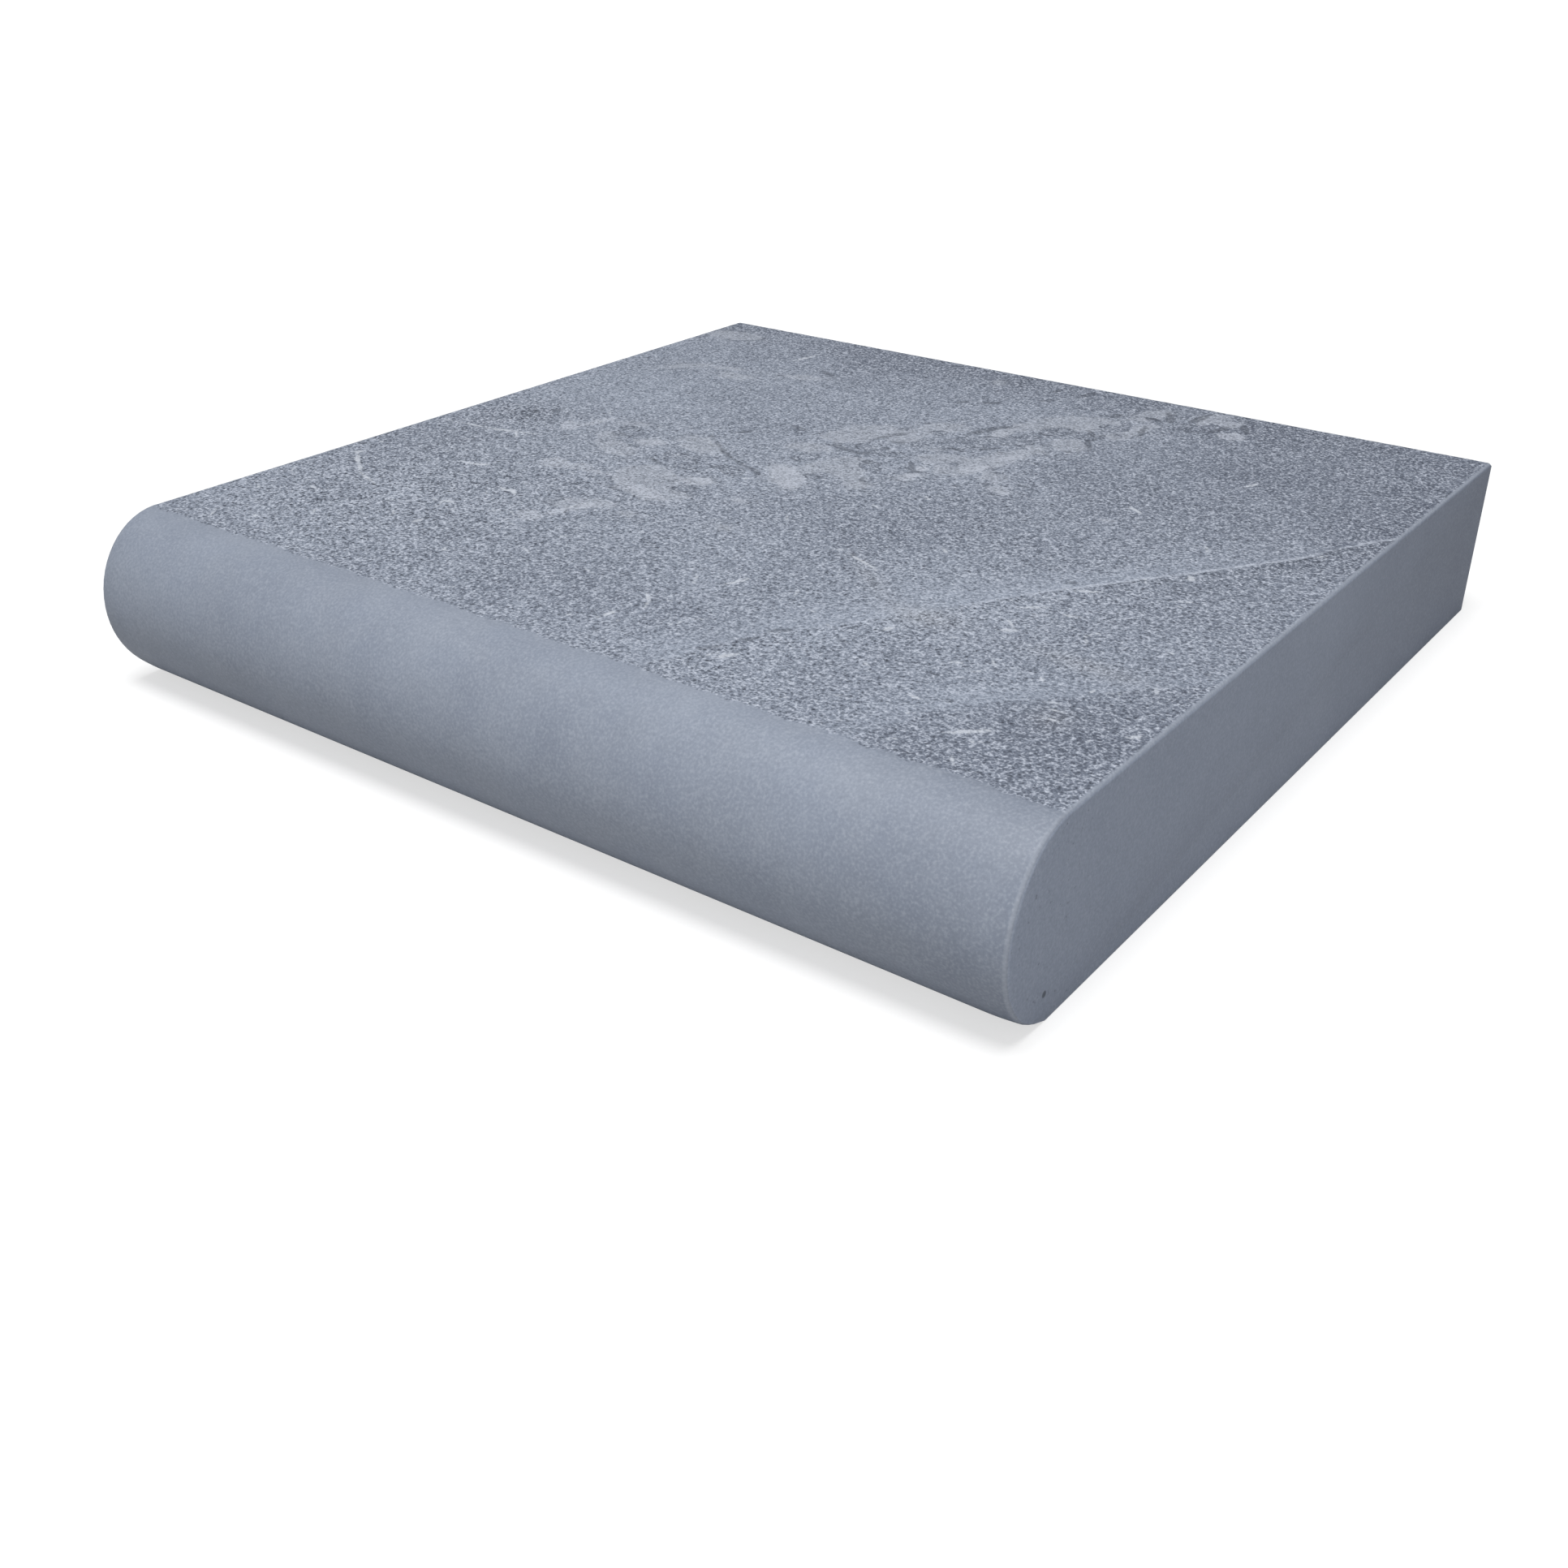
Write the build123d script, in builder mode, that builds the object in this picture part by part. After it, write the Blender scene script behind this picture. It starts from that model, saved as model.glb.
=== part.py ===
from build123d import *
import math
import os

# Marble bullnose coping: one slab of stone, sawn to size, with its front edge profiled to a full bullnose.
# Millimetres. X runs along the nose, -Y is the nose, +Y the back, Z is up from the bed that it lies on.
# The origin is at the middle of the slab's footprint, on the bed.

length = 304.8        # along the nose, a nominal 12 in
width = 304.8         # from the tip of the nose to the back, a nominal 12 in
thickness = 50.8      # bed to walking face, a nominal 2 in
nose_depth = 22.5     # how far back from its tip the nose starts, a little less than a half-round's 25.4
bed_crease = 6.0      # degrees of the nose's curve that the saw cut of the bed takes off
arris = 1.3           # radius of the eased edges round the walking face and the ends of the nose

tip = -width / 2
back = width / 2
half = thickness / 2
nose_root = tip + nose_depth
under_radius = half / math.cos(math.radians(bed_crease))

with BuildPart() as bullnose_coping:
    with BuildSketch(Plane.YZ.offset(-length / 2)) as section:
        with BuildLine():
            # Above the tip the nose runs out tangent to the walking face.
            over = EllipticalCenterArc((nose_root, half), nose_depth, half, start_angle=90, arc_size=90)
            # Below it the same curve meets the sawn bed at a shallow crease.
            under = EllipticalCenterArc(
                (nose_root, half), nose_depth, under_radius, start_angle=180, arc_size=90 - bed_crease
            )
            Polyline(under @ 1, (back, 0), (back, thickness), over @ 0)
        make_face()
    extrude(amount=length)

    # The walking face is eased at its back and ends. Its front edge is left out: there it flows into the nose.
    walking_face = faces().sort_by(Axis.Z)[-1]
    walking_edges = walking_face.edges().sort_by(Axis.Y)[1:]
    # The same easing carries on round both ends of the nose and stops at the bed, which keeps its sawn edges.
    nose_edges = edges().filter_by(GeomType.ELLIPSE)
    fillet(walking_edges + nose_edges, radius=arris)

bullnose_coping.part.label = "bullnose_coping"

os.makedirs("parts", exist_ok=True)
export_step(bullnose_coping.part, "parts/bullnose_coping.step")
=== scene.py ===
import math

import bmesh
import bpy
import numpy as np
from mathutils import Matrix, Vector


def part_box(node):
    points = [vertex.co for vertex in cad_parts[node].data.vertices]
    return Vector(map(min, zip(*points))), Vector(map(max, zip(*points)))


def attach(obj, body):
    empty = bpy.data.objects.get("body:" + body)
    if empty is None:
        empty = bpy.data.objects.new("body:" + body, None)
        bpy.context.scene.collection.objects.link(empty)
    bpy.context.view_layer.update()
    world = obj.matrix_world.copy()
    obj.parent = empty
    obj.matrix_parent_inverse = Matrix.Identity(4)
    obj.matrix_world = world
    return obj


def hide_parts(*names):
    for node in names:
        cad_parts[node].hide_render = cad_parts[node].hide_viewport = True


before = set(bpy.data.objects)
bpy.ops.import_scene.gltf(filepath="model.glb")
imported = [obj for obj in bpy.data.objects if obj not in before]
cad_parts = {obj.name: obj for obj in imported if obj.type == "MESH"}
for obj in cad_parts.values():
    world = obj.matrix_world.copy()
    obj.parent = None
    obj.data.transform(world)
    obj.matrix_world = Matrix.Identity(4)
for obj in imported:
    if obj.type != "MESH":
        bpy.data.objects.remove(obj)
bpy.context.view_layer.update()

# The slab. One piece of blue-grey marble, sawn square, with its front edge turned to a full bullnose.
# A profile wheel rounds the nose, and the edges of the walking face are eased and honed by hand. Wire
# brushes leather that face, and the bed and the back are left from the saw. Lengths are in millimetres.
metre = 0.001
low, high = (np.array(corner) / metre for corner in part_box("bullnose_coping"))
end = high[0]
tip, back = low[1], high[1]
thickness = high[2] - low[2]
nose_depth = 22.5
bed_crease = math.radians(6.0)
arris = 1.3
nose_root = tip + nose_depth
brush_margin = 0.9  # the brushes run on a little way down the nose, and over the arris at the ends and back
brush_stop = nose_root - brush_margin
half = thickness / 2
under_radius = half / math.cos(bed_crease)
nose_fall = 0.7     # how far the hone takes the nose back at its two ends
fall_reach = 9.0    # and over what length
fall_gain = 1.25    # the fall is whole where the nose stands steep, and fades out towards both faces

cell = 1.12         # spacing of the mesh over the walking face
hold = 0.2          # a close row beside each arris, so that the flat faces shade flat right up to it
arris_steps = 5
nose_steps = 14     # above the tip, and as many below it
back_steps = 8
bed_steps = 20


def outline():
    """Points round the section: y, z, the way out in y and z, the arris at the ends, share of the fall."""
    points = []
    for z in np.linspace(0, thickness - arris, back_steps, endpoint=False):
        points.append((back, z, 1, 0, 0, 0))
    for turn in np.linspace(0, math.pi / 2, arris_steps, endpoint=False):
        out_y, out_z = math.cos(turn), math.sin(turn)
        y, z = back - arris + arris * out_y, thickness - arris + arris * out_z
        points.append((y, z, out_y, out_z, arris * out_z, 0))
    points.append((back - arris, thickness, 0, 1, arris, 0))
    rows = round((back - arris - hold - nose_root) / cell)
    for y in np.linspace(back - arris - hold, nose_root, rows, endpoint=False):
        points.append((y, thickness, 0, 1, arris, 0))
    over_turns = np.linspace(0, math.pi / 2, nose_steps, endpoint=False)
    under_turns = np.linspace(math.pi / 2, math.pi - bed_crease, nose_steps, endpoint=False)
    for turn in [*over_turns, *under_turns]:
        radius = half if turn < math.pi / 2 else under_radius
        y, z = nose_root - nose_depth * math.sin(turn), half + radius * math.cos(turn)
        out = np.array([-math.sin(turn) / nose_depth, math.cos(turn) / radius])
        out /= np.hypot(*out)
        share = min(1, fall_gain * math.sin(turn))
        points.append((y, z, *out, arris if turn < math.pi / 2 else arris * share, share))
    crease_y = nose_root - nose_depth * math.sin(bed_crease)
    for y in np.linspace(crease_y, back, bed_steps, endpoint=False):
        points.append((y, 0, 0, -1, 0, 0))
    return np.array(points)


def lattice_noise(x, y, size, seed):
    """Smooth noise from -1 to 1 whose bumps are about size across."""
    lattice = 128
    grid = np.random.RandomState(seed).uniform(-1, 1, (lattice, lattice))
    u, v = x / size + lattice / 2, y / size + lattice / 2
    column, row = np.floor(u).astype(int), np.floor(v).astype(int)
    fade_u, fade_v = ((t - np.floor(t)) ** 2 * (3 - 2 * (t - np.floor(t))) for t in (u, v))
    corners = [[grid[(row + i) % lattice, (column + j) % lattice] for j in (0, 1)] for i in (0, 1)]
    near = corners[0][0] * (1 - fade_u) + corners[0][1] * fade_u
    far = corners[1][0] * (1 - fade_u) + corners[1][1] * fade_u
    return near * (1 - fade_v) + far * fade_v


def oval_uv(x, y, oval):
    """How far along and across an oval a point lies, in its own half length and half width."""
    oval_x, oval_y, half_length, half_width, turn = oval
    along, across = math.cos(math.radians(turn)), math.sin(math.radians(turn))
    u = ((x - oval_x) * along + (y - oval_y) * across) / half_length
    v = ((y - oval_y) * along - (x - oval_x) * across) / half_width
    return u, v


def inside(x, y, ovals, melt):
    """Millimetres inside a shape made of ovals that melt together, and negative outside it."""
    oval_reach = 9     # an oval further off than this no longer draws the shape towards it
    shape_reach = 6
    total = np.zeros(x.shape)
    for oval in ovals:
        half_width = oval[3]
        depth = (1 - np.hypot(*oval_uv(x, y, oval))) * half_width
        total += np.exp(np.clip(depth, -oval_reach, oval_reach) / melt)
    return np.clip(melt * np.log(total), -shape_reach, shape_reach)


def drift(x, y, areas):
    """Sum of soft-edged broad areas, each an oval and a strength."""
    total = np.zeros(x.shape)
    for *oval, strength in areas:
        u, v = oval_uv(x, y, oval)
        total += strength * np.exp(-(u * u + v * v))
    return total


def right_of(x, y, path):
    """Millimetres right of a wandering line, and negative to its left. The line is a list of y and x."""
    slant = 0.7     # both cracks lean about this far to the right for each millimetre back
    path_y, path_x = zip(*path)
    return (x - np.interp(y, path_y, path_x)) / math.hypot(1, slant)


# The figure of the stone, laid out on the walking face from above. Each oval below is x, y, half length,
# half width and turn in degrees, and ovals that touch melt into one ragged shape.
# Pale, flat patches where the brushes left the crystal standing: the chain from the back to the middle...
pale_patches = [
    (62, 143, 7, 5, 75), (69, 140, 4, 3, 80), (43, 133, 10, 4.5, 75), (47, 116, 9, 3, 80),
    (28, 110, 13, 9, 40), (20, 102, 8, 7, 30), (15, 95, 6, 4.5, 60), (12, 84, 6, 3.4, 80),
    (36, 86, 8, 5.5, -60), (30, 75, 5, 3, -60), (44, 105, 5, 3.5, 60), (25, 58, 15, 5, 78),
    (20, 46, 11, 7, 70), (11, 48, 8, 6, 30), (33, 43, 4, 4, 0), (-24, 60, 10, 7, 35), (-27, 49, 9, 6, 10),
    (-12, 66, 10, 4, 60), (-6, 78, 8, 5, 30), (-10, 58, 6, 2.4, 65), (2, 56, 3, 1.6, 0),
    (11, 36.5, 2.6, 2.4, 0), (12, 27, 4.5, 3, 70), (-18, 4, 12, 5.5, -45), (-14, 22, 12, 6, 70),
    (-6, 20, 11, 5, -40), (3.5, 10.5, 4.5, 3.5, 20), (-24, 9, 5, 3, -35), (-30, 33, 7, 5, 20),
    (40, 34, 5, 3, -50),
    # ...and the scattered ones to its left.
    (-57, -20, 9, 7, 60), (-50, -28, 10, 8, -20), (-43, -33, 10, 5.5, -20), (-46, -21, 6.5, 4.5, -50),
    (-37.5, -15.5, 5.5, 4, 30), (-34.5, -30, 4, 5, 75), (-52, -52, 9, 4.4, 30), (-17, -22, 2.4, 1.8, 0),
    (-36, -51, 3, 2, 0), (-6, -43.5, 3, 2.5, 0), (-75, 5.5, 5.5, 4, 30), (-91, 2, 6.5, 3, -35),
    (-80, -6, 10, 5, -20), (-60, 13, 11, 6, -20), (-92, 18, 7, 2.6, 15), (-103, 86, 7, 4, 10),
    (-80, 100, 8, 3, 20), (-20, 138, 3, 3.5, 0), (-126, 86, 9, 2.4, 50), (-115, 92, 9, 2, 12),
    (-140, 133, 12, 6, 10),
]
# Small crisp flakes among them, the palest of all.
pale_flakes = [
    (-109, 3.5, 5.5, 3.4, -50), (-104, 12, 8, 2, 75), (-85, -29, 5.5, 4.4, -20), (-76, -27, 4.6, 3.4, 15),
    (-70, -28, 7, 1.6, 5), (-58, -69, 5, 3.6, -30), (-52, -59, 10, 2.2, 72), (74.5, 127.5, 5, 4.2, 20),
    (60.5, 135, 3, 2, 70), (12, 83, 2.6, 3.4, 0), (-44, 88, 1.5, 1.2, 0), (27, 62, 6, 2.2, 70),
    (-37.5, -15.5, 4.6, 3.4, 30), (-44, -33, 9, 3, -15), (-18, 4, 11, 4.5, -45), (-75, 5.5, 4, 2.6, 30),
    (24, 46, 5, 2.4, 70), (10.8, 36.5, 2.4, 2.2, 0), (12, 29, 3.4, 1.8, 80), (42, 32.5, 2, 1.4, 0),
    (80, 29, 3, 1.4, 20), (98, -45, 2, 1.1, 40), (-17, -22, 2, 1.4, 0),
]
# Hollows of ordinary grain inside them, each with a thin dark lip.
hollows = [
    (25.5, 97, 6, 4.4, 60), (35, 98, 5, 3.2, -20), (9, 69, 12, 6, 55), (21, 81, 8, 5, 60),
    (0, 60, 7, 5, 40), (-5, 72, 3, 2.4, 0), (39.3, 111.5, 4.6, 4.6, 0), (-25.3, 24, 5, 3.4, 75),
    (-4, 43, 6, 2.6, 20), (-14, 44, 6, 3, 0), (16.5, 46, 1.6, 1.4, 0), (32.5, 47, 1.4, 1.2, 0),
    (-4, 29, 6, 3.4, -40), (60, 128, 5, 4, 0), (44.4, 105, 1.6, 1.4, 0), (-12.5, 9.7, 3.2, 1.8, 0),
    (-36.5, -23.5, 3.8, 3, 20), (-35, -1.5, 5, 3.5, -20), (-88, 11, 6, 4, -30), (-55, -3, 10, 4.5, -30),
    (45.5, 129, 3, 1.6, -20),
]
# Dark specks and streaks, where soft stone was brushed right out.
dark_specks = [
    (6, 84, 8, 1.7, 70), (10, 91, 2.6, 1.4, 30), (-14.5, 63, 3.5, 1.1, 65), (-17, 57, 3, 0.9, 70),
    (-10, 55, 2.2, 1, 30), (-10, 47, 2.2, 1.1, 0), (-6.5, 31.8, 2, 1.7, -30), (-24, 40, 3, 1, -40),
    (-19, 38.5, 7, 1.2, -5), (-13, 39, 3, 1.2, 30), (17, 67, 4, 1, 55), (22, 66, 1, 0.8, 0),
    (9, 60, 3, 0.9, 0), (6, 38, 2, 0.9, -50), (9, 33.5, 2.4, 0.9, -20), (13, 33.5, 2, 0.8, 20),
    (44.5, 41, 1.7, 1, 0), (34.5, 35.8, 2, 0.8, 25), (28, 29, 1.6, 1, 10), (2.5, 15.5, 3, 0.8, -40),
    (40, 92, 4, 1.1, -60), (43, 87, 2.6, 0.9, -60), (39, 80, 1.6, 0.9, 0), (36, 102, 3, 1, -50),
    (45, 130, 2.6, 1.2, 0), (33, 126, 3, 1.6, 80), (57.5, 141, 6, 1.5, 80), (68, 132, 5, 1.3, 75),
    (49, 135, 6, 1.4, -60), (75, 138, 5, 1.2, -60), (48.5, 114, 6, 0.9, -75), (13, 143, 5, 1.2, 80),
    (-63, 23, 1.4, 0.9, 0), (-57.5, 33.5, 3.5, 0.9, 60), (-55, 16.5, 6, 0.5, -42), (-47, 11, 5, 0.7, -35),
    (-38, 6, 4, 0.8, -25), (-30, 3, 4.5, 1, -30), (-46, 48, 4, 1.2, -20), (51, -92, 3.4, 1, 50),
    (48, -101, 2.6, 0.8, 60), (43, -111, 3, 0.9, 50), (67, -88, 1.4, 0.9, 0), (106, -101, 1, 0.8, 0),
    (147, -52, 1, 0.8, 0), (36, -38, 1.2, 0.7, -30), (-10, 113, 3, 1.4, 30), (-18, 108, 3, 1, 60),
    (5, 128, 3, 1.2, 60), (2, 141, 3, 1, 80), (-130, 8, 2.4, 1.4, 0), (-125, 14, 2.4, 1.4, 60),
    (94, -20, 2, 0.9, 30), (-77, 109, 5, 1.2, -30), (-55, -36, 2.4, 0.8, -15), (-88, 5, 2, 0.8, 30),
    (-61, -8, 4, 0.9, -20), (-42, -1, 3, 0.9, 60), (-150, -52, 2, 1.2, 0),
]
# Light strokes: short scratches and a thin pale crescent.
light_strokes = [
    (-143, -59, 2, 1, 60), (-138, -64, 4, 0.8, -40), (-131, -69, 3, 0.7, -35), (-121, -75, 6, 0.6, -20),
    (-76, -57, 3, 0.8, -30), (-80, -92, 2, 0.9, 80), (-106, -45.5, 4, 0.8, 8), (-102, -44, 2, 0.9, 40),
    (-80, -57, 2.6, 0.7, -12), (-85, -75, 2.5, 0.8, 15), (-135, -16, 6, 0.6, 5), (-123, -14, 5, 0.8, 12),
    (-113, -11, 4, 0.6, 20), (41, -41, 6.5, 0.6, -22), (22.5, -73, 4, 0.8, 68), (117, -112, 4.5, 0.9, 40),
    (97, -58, 2, 0.6, 45), (105, -40, 3, 0.7, 10), (10, -110, 3.5, 0.8, 75), (124, -14, 3, 0.7, 30),
    (82, 42, 3.5, 0.7, -30), (96, -82, 2, 0.7, 40), (72, -75, 2, 0.8, 80), (50, -112, 3, 0.9, 60),
    (100, -23, 4, 0.8, 30), (94, -41, 4, 0.8, 40), (140, 39, 2.5, 0.6, 60), (112, 25, 2.5, 0.5, -60),
    (118, 2, 2, 1, -60), (148, -92, 2, 0.8, 40), (-97, 122, 6, 0.8, 80), (100, 84, 4, 0.7, 70),
    (-60, 18, 4, 0.35, -45), (-52, -54, 4, 0.5, 80), (-27, -4, 2, 0.6, 35),
]
# Short bright crystal edges, thickest towards the nose where the brushes bit deepest.
crystal_edges = 90
crystal_side, crystal_front, crystal_rear = 148, -128, 60
crystal_half_width = 0.45
crystal_draw = np.random.RandomState(7)
for _ in range(crystal_edges):
    spot_x = crystal_draw.uniform(-crystal_side, crystal_side)
    spot_y = crystal_draw.triangular(crystal_front, crystal_front, crystal_rear)
    half_length, turn = crystal_draw.uniform(1.0, 2.6), crystal_draw.uniform(-70, 70)
    light_strokes.append((spot_x, spot_y, half_length, crystal_half_width, turn))
# Two old cracks cross the face towards the nose, healed with pale stone that spreads to their left. Each
# crack is a list of y and x, and the spread beside the long one is a list of y and millimetres. The short
# one is healed less strongly.
long_crack = [
    (-130, 37), (-112, 42), (-102, 46), (-92, 53), (-68, 68), (-57, 76), (-36, 87), (-18, 100), (0, 113),
    (20, 127), (31, 133), (62, 150), (90, 166),
]
short_crack = [(-135, 97), (-110, 105), (-88, 121), (-68, 140), (-40, 168)]
long_spread = [(-130, 12), (-80, 18), (-40, 20), (0, 9), (30, 5), (50, 3)]
short_spread = 12
short_healing = 0.7
torn_spread = 35
# How much lighter or darker the colour runs over a hand's width, darkest towards the far right and the
# back, and how deep the brushes bit. Each of these broad soft ovals has its strength last.
tone_drift = [
    (120, 115, 75, 50, -35, -0.75), (-10, 150, 170, 26, 0, -0.5), (142, -108, 26, 24, 0, -0.25),
    (132, 22, 44, 9, 57, -0.3), (78, -52, 44, 14, 54, 0.35), (112, -90, 26, 10, 50, 0.45),
    (40, -115, 20, 8, 20, 0.35), (108, 2, 36, 9, 57, 0.3), (-20, 5, 50, 26, 40, 0.1),
    (-130, 40, 34, 34, 0, 0.35), (135, 20, 40, 110, 0, -0.25), (152, 70, 14, 90, 0, -0.25),
    (-20, 146, 150, 16, 0, -0.22), (35, 0, 30, 26, 40, -0.3), (-133, 4, 18, 9, 20, -0.5),
    (-60, 130, 80, 22, 0, -0.2), (-90, 5, 8, 12, 20, -0.15), (-20, -100, 45, 16, 0, -0.3),
    (75, 60, 34, 40, 40, -0.35), (-135, -20, 20, 30, 0, -0.2), (-50, -5, 12, 8, 20, -0.2),
    (-60, 38, 10, 9, 0, -0.15), (15, -25, 40, 20, 30, -0.08), (-120, -25, 26, 12, 0, -0.15),
    (57, 135, 14, 12, 0, 0.2), (-57, -98, 18, 10, 0, 0.15), (57, -95, 14, 12, 0, 0.18),
    (-70, 0, 40, 22, 10, 0.2), (-18, 20, 14, 15, 0, 0.3), (64, -82, 24, 7, 55, 0.33),
    (-150, 136, 10, 22, 0, -0.35), (53, 147, 8, 6, 0, 0.35), (-110, 114, 14, 9, 40, -0.25),
    (147, 134, 10, 14, 0, -0.25), (-48, -115, 8, 14, -20, 0.28), (-140, -63, 9, 8, 0, -0.3),
    (-4, 39, 10, 5, 0, 0.3),
]
bite_drift = [
    (-105, -80, 55, 45, 0, 0.5), (-60, -20, 60, 34, 0, 0.1), (125, -100, 40, 36, 20, -0.15),
    (-112, 60, 46, 50, 0, -0.15), (-60, 105, 70, 30, 0, -0.05), (-133, 4, 20, 14, 20, 0.5),
    (90, 90, 60, 40, 0, -0.12), (0, -98, 40, 22, 0, -0.08), (140, 20, 30, 70, 0, -0.08),
]
# A trace of iron stains the stone warm beside the cracks.
iron_stain = [
    (50, -50, 16, 3, -40, 0.6), (75, -63, 10, 6, 0, 1.0), (122, -65, 15, 4, -5, 0.8),
    (129, -95, 5, 6, 0, 0.6),
]

# The mesh: the section carried from end to end, with a ring of closer stations round each end's arris.
section = outline()
ring_turns = [math.pi / 2 * i / arris_steps for i in range(arris_steps)]
ring_x = [-end + arris * (1 - math.cos(turn)) for turn in ring_turns]
ring_ease = [1 - math.sin(turn) for turn in ring_turns]
columns = round(2 * (end - arris) / cell)
inner = end - arris - hold
middle_x = [-end + arris, *np.linspace(-inner, inner, columns + 1), end - arris]
station_x = np.array([*ring_x, *middle_x, *(-x for x in reversed(ring_x))])
station_ease = np.array([*ring_ease, *np.zeros(len(middle_x)), *reversed(ring_ease)])

x = np.repeat(station_x[:, None], len(section), axis=1)
fall = nose_fall * np.clip(1 - (end - np.abs(station_x)) / fall_reach, 0, 1) ** 2
inset = station_ease[:, None] * section[None, :, 4] + fall[:, None] * section[None, :, 5]
y = section[None, :, 0] - inset * section[None, :, 2]
z = section[None, :, 1] - inset * section[None, :, 3]

# Which finish lies where. Leathering fades out over the arris, and the arris itself carries a pale line,
# partly the hand hone's paler stone and partly painted highlight, palest round the ends of the nose. The
# bed and the back keep the saw's face.
nearly_level, square_on = 0.9, 0.999
above_bed = 1.0
arris_line, nose_arris_line = 0.6, 1.0
way_out_y, way_out_z, end_arris, fall_share = (section[None, :, column] for column in (2, 3, 4, 5))
from_edge = np.minimum(end - arris - np.abs(x), back - arris - y)
leathered = np.clip(from_edge / brush_margin + 1, 0, 1) * (way_out_z > nearly_level)
brushed = leathered * np.clip(y - brush_stop, 0, 1)
rounded = (end_arris > 0) & (z > above_bed)
line_strength = arris_line + (nose_arris_line - arris_line) * fall_share
# The pale line along the rounded arris: partly the hone's paler stone, partly painted highlight.
eased = np.clip(1 - np.abs(2 * from_edge / arris + 1), 0, 1) * rounded * line_strength
sawn = np.broadcast_to((way_out_z < -square_on) | (way_out_y > square_on), x.shape).astype(float)

# How far each point lies inside the figure, and beside the cracks. Healed stone is paler, and the brushes
# bit less into it. They bit more just right of the long crack, and the stone past the short one is darker.
pale = inside(x, y, pale_patches, melt=1.0)
flake = inside(x, y, pale_flakes, melt=0.5)
hollow = inside(x, y, hollows, melt=0.6)
speck = inside(x, y, dark_specks, melt=0.3)
stroke = inside(x, y, light_strokes, melt=0.3)
long_wander, fine_wander, short_wander = 0.9, 0.4, 1.5
crack = right_of(x, y, long_crack) + long_wander * lattice_noise(x, y, size=16.0, seed=51)
crack += fine_wander * lattice_noise(x, y, size=4.0, seed=52)
second = right_of(x, y, short_crack) + short_wander * lattice_noise(x, y, size=9.0, seed=53)
spread_y, spread_width = zip(*long_spread)
healed = np.where(crack < 0, np.clip(1 + crack / np.interp(y, spread_y, spread_width), 0, 1), 0)
healed += short_healing * np.where(second < 0, np.clip(1 + second / short_spread, 0, 1), 0)
torn = np.where(crack > 0, np.clip(1 - crack / torn_spread, 0, 1), 0)
past_at_crack, past_reach = 0.3, 1.5
past = np.clip(past_at_crack + second / past_reach, 0, 1)
plain_bite, torn_bite, healed_bite = 0.5, 0.15, 0.35
bite = np.clip(plain_bite + drift(x, y, bite_drift) + torn_bite * torn - healed_bite * healed, 0, 1)
healed_tone, past_tone = 0.25, 0.3
tone = np.clip(drift(x, y, tone_drift) + healed_tone * healed - past_tone * past, -1, 1) * brushed
stain = np.clip(drift(x, y, iron_stain), 0, 1)

# The relief, all of it pressed below the sawn plane: a slow swell, pits between the crystals, shallower in
# the patches left standing, and the specks that were brushed right out.
relief_depth = 0.34
swell_share, pit_share, speck_share = 0.12, 0.6, 0.28
run_in = 1.8        # over how many millimetres from the nose the brushes reach their full depth
light_bite = 0.35   # the share of a pit's depth where the brushes bit least
flat_spares = 0.6   # the share of it that a patch left standing is spared
flat = np.clip(0.5 + pale / 2, 0, 1) * np.clip(0.5 - hollow / 1.5, 0, 1)
grain = 0.55 * lattice_noise(x, y, size=3.1, seed=41) + 0.45 * lattice_noise(x, y, size=2.2, seed=42)
swell = lattice_noise(x, y, size=17.0, seed=43)
pit_depth = light_bite + (1 - light_bite) * bite
pits = np.clip(0.5 + 0.5 * grain, 0, 1) * pit_depth * (1 - flat_spares * flat)
sunk = np.clip(0.5 + speck / 1.5, 0, 1)
biting = leathered * np.clip((y - nose_root) / run_in, 0, 1)
z = z - biting * relief_depth * (swell_share * (1 + swell) + pit_share * pits + speck_share * sunk)

slab_mesh = bpy.data.meshes.new("coping_stone")
sections, around = x.shape
vertices = np.stack([x, y, z], axis=-1).reshape(-1, 3) * metre
faces = []
for this in range(0, (sections - 1) * around, around):
    for j in range(around):
        after = (j + 1) % around
        faces.append((this + j, this + around + j, this + around + after, this + after))
faces.append(tuple(range(around)))
faces.append(tuple(reversed(range((sections - 1) * around, sections * around))))
slab_mesh.from_pydata(vertices.tolist(), [], faces)
surface_fields = {
    "leathered": leathered, "eased": eased, "sawn": sawn, "pale": pale, "flake": flake, "hollow": hollow,
    "speck": speck, "stroke": stroke, "bite": bite, "tone": tone, "crack": crack, "stain": stain,
}
for name, field in surface_fields.items():
    values = slab_mesh.attributes.new(name, "FLOAT", "POINT")
    values.data.foreach_set("value", field.reshape(-1).astype(np.float32))
slab_mesh.polygons.foreach_set("use_smooth", [True] * len(slab_mesh.polygons))
sharp_turn = math.radians(40)   # the bed's edges turn more than this and stay sharp
slab_mesh.set_sharp_from_angle(angle=sharp_turn)
coping_stone = bpy.data.objects.new("coping_stone", slab_mesh)
bpy.context.scene.collection.objects.link(coping_stone)
faces_out = bmesh.new()
faces_out.from_mesh(slab_mesh)
bmesh.ops.recalc_face_normals(faces_out, faces=faces_out.faces)
faces_out.to_mesh(slab_mesh)
faces_out.free()


def linear(hex_colour):
    """The linear value of an sRGB colour written as six hex digits."""
    parts = [int(hex_colour[i:i + 2], 16) / 255 for i in (0, 2, 4)]
    return tuple(c / 12.92 if c <= 0.04045 else ((c + 0.055) / 1.055) ** 2.4 for c in parts) + (1.0,)


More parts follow.
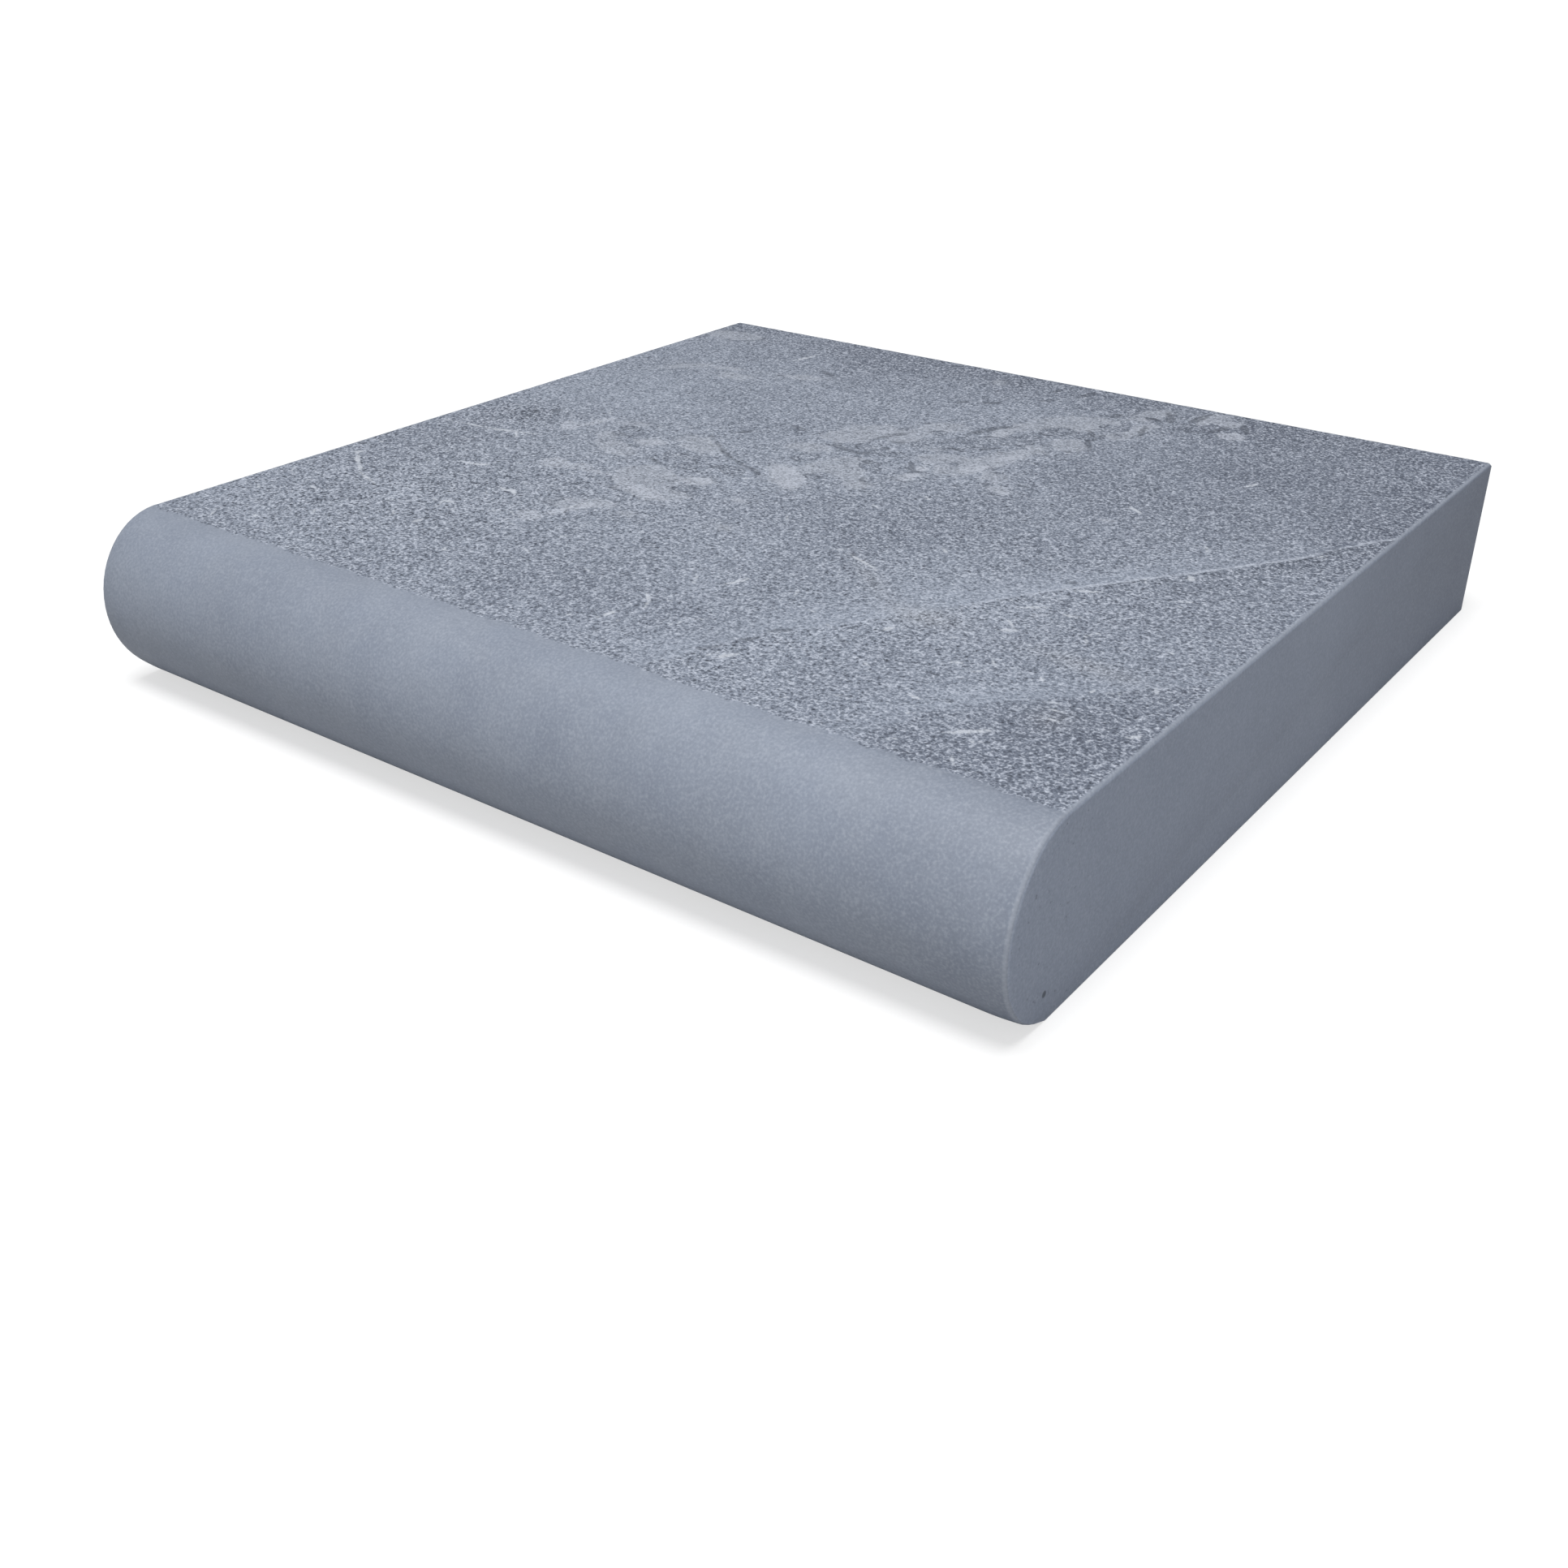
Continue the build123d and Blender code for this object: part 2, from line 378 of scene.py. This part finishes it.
def node(tree, kind, inputs=None, **settings):
    """Adds a node with its settings. An input that is a socket is linked, and any other is set."""
    made = tree.nodes.new(kind)
    for setting, value in settings.items():
        setattr(made, setting, value)
    for key, value in (inputs or {}).items():
        if isinstance(value, bpy.types.NodeSocket):
            tree.links.new(value, made.inputs[key])
        else:
            made.inputs[key].default_value = value
    return made


def dressed_marble():
    """Marble with a brushed, leathered face, and honed smooth where the wheel and the hone passed."""
    # Leathering gives the eye a matt grain of worn, light crystal tops over dark pits. Honing closes the
    # stone to an even, satin grey-blue, and the saw leaves it dull and paler. All of it is one calcite
    # stone, so the refraction is the same and only the roughness changes from one finish to the next.
    honed_roughness, leathered_more, sawn_more = 0.5, 0.12, 0.2
    calcite_ior = 1.5
    dark_stone, light_stone = "6A7283", "AAB4C5"
    dull_stone, shaded_stone = "59606E", "4C5360"
    pale_crystal, bright_crystal, worn_crystal = "AAB0BC", "BCC2CF", "D3DAE8"
    pit_dark, speck_dark, lip_dark = "2B3240", "3C4350", "454C5A"
    material = bpy.data.materials.new("dressed_marble")
    material.use_nodes = True
    tree = material.node_tree
    tree.nodes.clear()
    place = node(tree, "ShaderNodeTexCoord").outputs["Object"]
    in_mm = node(tree, "ShaderNodeVectorMath", {0: place, "Scale": 1 / metre}, operation="SCALE")
    mm = in_mm.outputs["Vector"]
    field = {}
    for name in surface_fields:
        field[name] = node(tree, "ShaderNodeAttribute", attribute_name=name).outputs["Fac"]

    def sums(operation, *values):
        total = values[0]
        for value in values[1:]:
            total = node(tree, "ShaderNodeMath", {0: total, 1: value}, operation=operation).outputs[0]
        return total

    def times(*values):
        return sums("MULTIPLY", *values)

    def plus(*values):
        return sums("ADD", *values)

    def noise(size, detail=1.0, roughness=0.5, swing=1.0):
        """Noise with bumps about size millimetres across that runs from about -swing to swing."""
        texture = node(
            tree, "ShaderNodeTexNoise",
            {"Vector": mm, "Scale": 1 / size, "Detail": detail, "Roughness": roughness},
        )
        limits = {0: texture.outputs["Fac"], 1: 0.25, 2: 0.75, 3: -swing, 4: swing}
        return node(tree, "ShaderNodeMapRange", limits, clamp=False).outputs[0]

    def ramp(value, start, stop, first=0.0, last=1.0, shape="SMOOTHSTEP"):
        limits = {0: value, 1: start, 2: stop, 3: first, 4: last}
        return node(tree, "ShaderNodeMapRange", limits, interpolation_type=shape).outputs[0]

    def tint(share, under, over):
        """Lays a share of the colour over on the colour under."""
        mixed = node(tree, "ShaderNodeMix", {0: share, 6: under, 7: linear(over)}, data_type="RGBA")
        return mixed.outputs[2]

    def size_of(value):
        return node(tree, "ShaderNodeMath", {0: value}, operation="ABSOLUTE").outputs[0]

    # The brushes stop raggedly where the honed nose begins.
    apart = node(tree, "ShaderNodeSeparateXYZ", {0: mm})
    ragged = plus(apart.outputs["Y"], noise(7.0, 1.0, 0.5, 0.8), noise(1.8, 1.0, 0.5, 0.6))
    leathered = times(field["leathered"], ramp(ragged, brush_stop - 0.5, brush_stop + 0.7))

    # Crystal grain: worn ridges like short threads, with pits between them. Calcite of this kind has
    # crystals from under 1 to about 3 mm, and those are the sizes here.
    fine_crystal, thread_gap, coarse_crystal = 0.85, 1.25, 3.2
    threads = ramp(size_of(noise(thread_gap)), 0.0, 0.5, 0.9, -0.45, "LINEAR")
    crystals = plus(noise(fine_crystal, 1.0, 0.6, 1.4), noise(coarse_crystal, 1.0, 0.5, 0.2), threads)

    # Patches left standing, flakes and hollows, with edges that wander as the crystal does.
    wander = plus(noise(5.0, 4.0, 0.7, 1.7), noise(1.3, 1.0, 0.5, 0.4))
    pale_edge = plus(field["pale"], wander)
    flake_edge = plus(field["flake"], noise(2.8, 4.0, 0.7, 1.0))
    hollow_edge = plus(field["hollow"], noise(3.0, 3.0, 0.65, 0.8))
    speck_edge = plus(field["speck"], noise(1.8, 3.0, 0.65, 0.5))
    mottle = ramp(noise(4.0, 3.0, 0.65), -0.9, 0.3, 0.5, 1.0)
    outside_hollow = ramp(hollow_edge, 0.3, -0.3)
    pale_haze = ramp(pale_edge, -5.0, 2.0)
    pale_crisp = ramp(pale_edge, -0.2, 0.3)
    pale_ground = plus(times(pale_haze, 0.35), times(pale_crisp, 0.65))
    pale_cover = times(pale_ground, mottle, outside_hollow, leathered)
    flake_mottle = ramp(noise(2.4, 3.0, 0.65), -0.8, 0.4, 0.35, 1.0)
    flake_cover = times(ramp(flake_edge, -0.3, 0.3), flake_mottle, leathered)
    hollow_cover = times(ramp(hollow_edge, -0.2, 0.3), ramp(noise(5.5), -1.2, 0.2), leathered)
    speck_mottle = ramp(noise(2.2, 2.0), -1.0, 0.2, 0.35, 1.0)
    speck_cover = times(ramp(speck_edge, -0.5, 0.2), speck_mottle, leathered)

    # A thin dark lip stands round the hollows, and here and there round a patch with a pale bank inside it.
    lip_breaks = ramp(noise(4.5), -0.5, 0.2)
    pale_lip_breaks = ramp(noise(8.0), 0.0, 0.5)
    bank_breaks = ramp(noise(6.0), -0.3, 0.3)
    hollow_lip = times(ramp(hollow_edge, -0.5, 0.0), ramp(hollow_edge, 0.7, 0.1), lip_breaks, leathered)
    pale_lip = times(ramp(pale_edge, -1.0, -0.5), ramp(pale_edge, 0.0, -0.4), pale_lip_breaks, leathered)
    pale_bank = times(ramp(pale_edge, -0.1, 0.3), ramp(pale_edge, 1.2, 0.5), bank_breaks, leathered)

    # The grain is calmer on the patches and flakes, and stronger where the brushes bit.
    calm = times(ramp(pale_cover, 0.0, 1.0, 1.0, 0.75), ramp(flake_cover, 0.0, 1.0, 1.0, 0.85))
    strength = times(ramp(field["bite"], 0.0, 1.0, 0.56, 1.34, "LINEAR"), calm)
    grain_here = times(crystals, strength, leathered)

    # Colour: grey-blue, drifting lighter and darker over a hand's width.
    # The ends are painted darker towards the back, painted shade where the light falls off across them, and
    # the nose darkens towards its right-hand end.
    on_end = ramp(size_of(apart.outputs["X"]), end - 0.3, end - 0.1)
    end_painted_shade = times(on_end, ramp(apart.outputs["Y"], 20.0, 150.0, -0.1, -1.1, "LINEAR"))
    off_face = ramp(apart.outputs["Y"], brush_stop + 0.5, brush_stop - 0.5)
    to_the_right = ramp(apart.outputs["X"], 100.0, 150.0, 0.0, -0.4, "LINEAR")
    nose_drift = times(off_face, to_the_right, ramp(on_end, 1.0, 0.0))
    broad = times(noise(34.0, 4.0, 0.6, 0.3), ramp(leathered, 0.0, 1.0, 0.65, 1.0))
    # The broad tone, with the ends' painted shade added to it.
    tone_and_painted_shade = plus(broad, field["tone"], end_painted_shade, nose_drift)
    shade = ramp(tone_and_painted_shade, -1.0, 1.0, shape="LINEAR")
    iron = "B0A48E"
    colour = tint(shade, linear(dark_stone), light_stone)
    colour = tint(times(leathered, 0.12), colour, dull_stone)
    colour = tint(times(field["stain"], leathered, 0.12), colour, iron)
    colour = tint(times(pale_cover, 0.7), colour, pale_crystal)
    colour = tint(times(flake_cover, 0.74), colour, bright_crystal)
    colour = tint(times(hollow_cover, 0.34), colour, dull_stone)

    # A crack's line: a hair of pale stone that comes and goes, with duller stone to its right.
    crack = field["crack"]
    off_crack = size_of(plus(crack, noise(3.0, 2.0, 0.5, 0.3)))
    down_face = times(ramp(apart.outputs["Y"], -70.0, -10.0, 0.2, 1.0), leathered)
    crack_line = times(ramp(off_crack, 0.9, 0.2), ramp(noise(6.0, 3.0, 0.6), -0.8, 0.3), down_face)
    shade_breaks = ramp(noise(8.0, 2.0), -0.4, 0.4)
    crack_shade = times(ramp(crack, 0.3, 0.9), ramp(crack, 1.8, 1.1), shade_breaks, down_face)
    beyond = times(ramp(crack, 0.2, 1.4), ramp(crack, 14.0, 1.5), down_face)
    colour = tint(times(beyond, 0.14), colour, shaded_stone)

    # Worn crystal tops catch the light and the pits between them stay dark. A top or a pit of this height,
    # in the noise's own measure, has the whole of its colour.
    whole = 2.0
    colour = tint(ramp(grain_here, 0.0, whole, shape="LINEAR"), colour, worn_crystal)
    colour = tint(ramp(grain_here, 0.0, -whole, shape="LINEAR"), colour, pit_dark)
    colour = tint(times(pale_bank, 0.22), colour, worn_crystal)
    colour = tint(times(speck_cover, 0.55), colour, speck_dark)
    colour = tint(times(hollow_lip, 0.6), colour, lip_dark)
    colour = tint(times(pale_lip, 0.38), colour, lip_dark)
    colour = tint(times(crack_shade, 0.35), colour, speck_dark)
    colour = tint(times(crack_line, 0.42), colour, worn_crystal)

    # Thin dark seams wander through the pale ground, as if drawn in ink, and scratches show bare crystal.
    seams = ramp(size_of(noise(7.5, 3.0, 0.55)), 0.14, 0.03)
    ink = times(seams, pale_haze, ramp(noise(13.0, 1.0), -0.1, 0.5), leathered)
    colour = tint(times(ink, 0.3), colour, lip_dark)
    scratch = times(ramp(plus(field["stroke"], noise(1.5, 1.0, 0.5, 0.25)), -0.3, 0.3), leathered)
    bare_crystal = "DCE2EC"
    colour = tint(times(scratch, 0.68), colour, bare_crystal)

    # Honed stone shows only a faint crystal speckle, and is palest along the rounded arris, where its own
    # paler stone carries a painted highlight. The ends are painted lighter and bluer, standing in for the
    # cooler light on that side, with a few dark flecks towards the nose.
    hone_haze, painted_cool_light, speckle_light, eased_pale = "A9AFB9", "A3B0CA", "D9DFE8", "C6CCD6"
    speckle_size, fleck_size = 0.72, 1.8
    honed = sums("SUBTRACT", 1.0, leathered)
    haze_clouds = ramp(noise(13.0, 3.0, 0.6), -1.0, 1.0, 0.05, 0.23)
    haze = times(honed, haze_clouds, ramp(on_end, 0.0, 1.0, 1.0, 0.3))
    colour = tint(haze, colour, hone_haze)
    # Painted light: the ends are lifted lighter and bluer, as the cooler light on that side would show
    # them.
    colour = tint(times(on_end, 0.3), colour, painted_cool_light)
    by_nose = ramp(apart.outputs["Y"], -105.0, -130.0)
    flecks = ramp(noise(fleck_size, 2.0, 0.6), 0.65, 0.95)
    colour = tint(times(on_end, by_nose, flecks, 0.45), colour, shaded_stone)
    speckle = times(noise(speckle_size, 1.0), honed)
    speckle_share = 0.28
    colour = tint(times(ramp(speckle, 0.0, whole, shape="LINEAR"), speckle_share), colour, speckle_light)
    colour = tint(times(ramp(speckle, 0.0, -whole, shape="LINEAR"), speckle_share), colour, shaded_stone)
    # Pale along the rounded arris: the hone's paler stone and a painted highlight.
    colour = tint(times(field["eased"], 0.3), colour, eased_pale)

    # A tiny pinhole in the right-hand end, close to the nose. No hole is cut, and its dark is painted
    # shade.
    pinhole_spot = (end, tip + 18.5, 7.8)
    pinhole_rim, pinhole_floor = 1.1, 0.6
    pinhole = node(tree, "ShaderNodeVectorMath", {0: mm, 1: pinhole_spot}, operation="DISTANCE")
    pinhole_painted_shade = ramp(pinhole.outputs["Value"], pinhole_rim, pinhole_floor)
    colour = tint(times(pinhole_painted_shade, 0.75), colour, pit_dark)

    # The saw leaves the bed and the back duller and paler, in fine arcs from a blade of about 450 mm, with
    # a little over 2 mm of feed from one mark to the next.
    sawn_pale = "C6CCD3"
    arc_bow = 0.0022
    marks_per_mm = 0.45
    bow = times(apart.outputs["Y"], apart.outputs["Y"], arc_bow)
    lift = times(apart.outputs["Z"], apart.outputs["Z"], arc_bow)
    feed = plus(apart.outputs["X"], bow, lift)
    marks = {"W": feed, "Scale": marks_per_mm, "Detail": 2.0}
    arcs = node(tree, "ShaderNodeTexNoise", marks, noise_dimensions="1D").outputs["Fac"]
    sawn = times(field["sawn"], ramp(size_of(apart.outputs["X"]), end - 0.1, end - 0.3))
    kerf = times(ramp(arcs, 0.3, 0.7, -1.0, 1.0, "LINEAR"), sawn)
    mark_share = 0.12
    colour = tint(times(sawn, 0.25), colour, sawn_pale)
    colour = tint(times(ramp(kerf, 0.0, 1.0), mark_share), colour, speckle_light)
    colour = tint(times(ramp(kerf, 0.0, -1.0), mark_share), colour, dull_stone)

    # Relief too fine for the mesh: the crystals' own tops and pits, and the edges of the saw marks.
    crystal_height = 0.16 * metre
    height = plus(times(grain_here, 0.5), times(kerf, 0.2))
    bump = node(tree, "ShaderNodeBump", {"Strength": 1.0, "Distance": crystal_height, "Height": height})
    rough = plus(honed_roughness, times(leathered, leathered_more), times(sawn, sawn_more))
    finish = {"Base Color": colour, "Roughness": rough, "IOR": calcite_ior, "Normal": bump.outputs[0]}
    shader = node(tree, "ShaderNodeBsdfPrincipled", finish)
    node(tree, "ShaderNodeOutputMaterial", {"Surface": shader.outputs[0]})
    return material


slab_mesh.materials.append(dressed_marble())
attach(coping_stone, "root")
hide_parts("bullnose_coping")

# The studio floor: plain, pale and matt. Seen by the camera it is lifted to plain white, and it keeps
# the soft shadow that the slab drops on it. It lies a hair below the bed, so that the two never share a
# plane, in four strips round an opening under the slab that lets light up to the bed.
floor_reach = 6.0
floor_drop = 0.1 * metre
floor_lap = 1.0     # how far it runs in under the bed
open_side, open_front, open_back = ((edge - floor_lap) * metre for edge in (end, -nose_root, back))
floor_corners = []
for side, front, rear in ((floor_reach, floor_reach, floor_reach), (open_side, open_front, open_back)):
    floor_corners += [(-side, -front), (side, -front), (side, rear), (-side, rear)]
floor_strips = [(i, (i + 1) % 4, 4 + (i + 1) % 4, 4 + i) for i in range(4)]
floor_mesh = bpy.data.meshes.new("studio_floor")
floor_mesh.from_pydata([(*corner, -floor_drop) for corner in floor_corners], [], floor_strips)
studio_floor = bpy.data.objects.new("studio_floor", floor_mesh)
bpy.context.scene.collection.objects.link(studio_floor)


def pale_floor():
    """Matt painted board that fades to plain white away from the stone. From underneath it is clear."""
    # The fade, in metres from the slab's middle, and how much of white the camera is given at its start.
    fade_start, fade_stop, first_white = 0.3, 0.8, 0.62
    board_grey = "B4B4B4"
    material = bpy.data.materials.new("pale_floor")
    material.use_nodes = True
    tree = material.node_tree
    tree.nodes.clear()
    seen = node(tree, "ShaderNodeLightPath")
    place = node(tree, "ShaderNodeTexCoord").outputs["Object"]
    distance = node(tree, "ShaderNodeVectorMath", {0: place}, operation="LENGTH").outputs["Value"]
    fade = {0: distance, 1: fade_start, 2: fade_stop, 3: first_white, 4: 1.0}
    whiteness = {0: node(tree, "ShaderNodeMapRange", fade).outputs[0], 1: seen.outputs["Is Camera Ray"]}
    strength = node(tree, "ShaderNodeMath", whiteness, operation="MULTIPLY")
    matt = node(tree, "ShaderNodeBsdfDiffuse", {"Color": linear(board_grey)})
    glow = node(tree, "ShaderNodeEmission", {"Color": (1, 1, 1, 1), "Strength": strength.outputs[0]})
    both = node(tree, "ShaderNodeAddShader", {0: matt.outputs[0], 1: glow.outputs[0]})
    clear = node(tree, "ShaderNodeBsdfTransparent")
    underneath = node(tree, "ShaderNodeNewGeometry").outputs["Backfacing"]
    sheet = node(tree, "ShaderNodeMixShader", {0: underneath, 1: both.outputs[0], 2: clear.outputs[0]})
    node(tree, "ShaderNodeOutputMaterial", {"Surface": sheet.outputs[0]})
    return material


floor_mesh.materials.append(pale_floor())

# The light: an even dim surround that the camera sees as white, a large soft lamp almost overhead,
# and a weak one low in front that lifts the nose and the end.
white = (1, 1, 1, 1)
dim = 0.3
surround = bpy.data.worlds.new("surround")
surround.use_nodes = True
bpy.context.scene.world = surround
sky = surround.node_tree
sky.nodes.clear()
seen = node(sky, "ShaderNodeLightPath")
plain = node(sky, "ShaderNodeBackground", {"Color": white, "Strength": 1.0})
soft = node(sky, "ShaderNodeBackground", {"Color": white, "Strength": dim})
either = {0: seen.outputs["Is Camera Ray"], 1: soft.outputs[0], 2: plain.outputs[0]}
mixed = node(sky, "ShaderNodeMixShader", either)
node(sky, "ShaderNodeOutputWorld", {"Surface": mixed.outputs[0]})


def soft_light(name, distance, height, side, size, power):
    """A round lamp aimed at the slab: height is degrees above the floor, side degrees right of the nose."""
    lamp = bpy.data.lights.new(name, "AREA")
    lamp.shape = "DISK"
    lamp.size = size
    lamp.energy = power
    holder = bpy.data.objects.new(name, lamp)
    bpy.context.scene.collection.objects.link(holder)
    up, right = math.radians(height), math.radians(side)
    holder.location = (
        distance * math.cos(up) * math.sin(right),
        -distance * math.cos(up) * math.cos(right),
        distance * math.sin(up),
    )
    holder.rotation_euler = (math.pi / 2 - up, 0, right)


soft_light("overhead_lamp", distance=4.0, height=77, side=10, size=1.6, power=113.0)
soft_light("front_lamp", distance=0.8, height=12, side=32, size=0.4, power=0.75)

# The camera stands where the photograph was taken from, worked out from the slab's known size.
camera_data = bpy.data.cameras.new("camera")
camera_data.sensor_width = 36.0
camera_data.lens = 38.98
camera = bpy.data.objects.new("camera", camera_data)
camera.location = (0.28329, -0.40427, 0.22019)
camera.rotation_euler = [math.radians(angle) for angle in (61.288, -0.25, 36.617)]
bpy.context.scene.collection.objects.link(camera)
bpy.context.scene.camera = camera
bpy.context.scene.view_settings.view_transform = "Standard"
